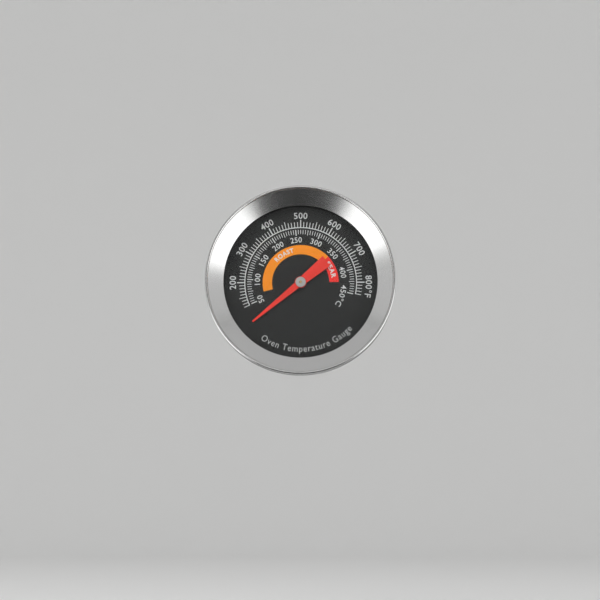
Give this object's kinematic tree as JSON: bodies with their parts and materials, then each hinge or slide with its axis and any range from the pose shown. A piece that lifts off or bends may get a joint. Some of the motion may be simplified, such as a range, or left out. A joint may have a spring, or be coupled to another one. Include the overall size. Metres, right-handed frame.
{
  "type": "oven thermometer",
  "caption": "Round dial thermometer for an oven lid: dished steel bezel, glass window, two scales with a red pointer, bimetal stem and a wing nut that clamps it through a hole.",
  "frame": {"origin": "on the stem's axis, in the plane of the case's back seat, which bears on the oven lid", "axes": "+Y along the stem away from the dial, into the oven; the dial faces -Y; +Z is the dial's twelve o'clock and +X its three o'clock"},
  "size_m": [0.063, 0.0592, 0.063],
  "materials": {
    "case_steel": "pressed stainless sheet, dull",
    "satin_steel": "satin stainless, fine grain",
    "window_glass": "clear flat glass",
    "seal_rubber": "matt silicone cord",
    "spacer_black": "matt black",
    "dial_black": "matt black with printed scales",
    "shank_steel": "turned stainless",
    "backing_steel": "pressed stainless",
    "stem_steel": "drawn stainless tube",
    "tip_steel": "turned stainless",
    "bearing_plastic": "moulded heat-proof bush",
    "bimetal_strip": "rolled bimetal strip",
    "pointer_red": "red enamel",
    "bushing_brass": "turned brass",
    "cap_silver": "bright turned aluminium",
    "spindle_brass": "drawn brass wire",
    "washer_steel": "stamped stainless",
    "nut_steel": "pressed and tapped stainless"
  },
  "bodies": {
    "gauge_case": {"case_pan": "case_steel", "bezel": "satin_steel", "lens": "window_glass", "lens_gasket": "seal_rubber", "spacer_ring": "spacer_black", "dial_plate": "dial_black", "threaded_shank": "shank_steel", "backing_washer": "backing_steel", "stem_tube": "stem_steel", "stem_tip_plug": "tip_steel", "upper_bearing": "bearing_plastic", "lower_bearing": "bearing_plastic", "bimetal_coil": "bimetal_strip"},
    "pointer_group": {"pointer": "pointer_red", "pointer_bushing": "bushing_brass", "pointer_cap": "cap_silver", "spindle": "spindle_brass", "coil_collar": "bushing_brass"},
    "clamp_washer": {"flat_washer": "washer_steel"},
    "clamp_nut": {"wing_nut": "nut_steel"}
  },
  "joints": [
    {"name": "pointer_swing", "type": "hinge", "parent": "gauge_case", "child": "pointer_group", "pos_m": [0, 0, 0], "axis": [0, 1, 0], "range_deg": [-10.8, 232.2], "stiffness_Nm_per_rad": 0.00005, "deforming": ["bimetal_coil"]},
    {"name": "washer_travel", "type": "slide", "parent": "gauge_case", "child": "clamp_washer", "axis": [0, 1, 0], "range_m": [-0.00112, 0.00562]},
    {"name": "nut_spin", "type": "hinge", "parent": "clamp_washer", "child": "clamp_nut", "pos_m": [0, 0, 0], "axis": [0, 1, 0], "range_deg": [-325, 1621]}
  ],
  "couplings": [
    {"joint": "nut_spin", "follows": "washer_travel", "rad_per_m": 5026.5}
  ]
}
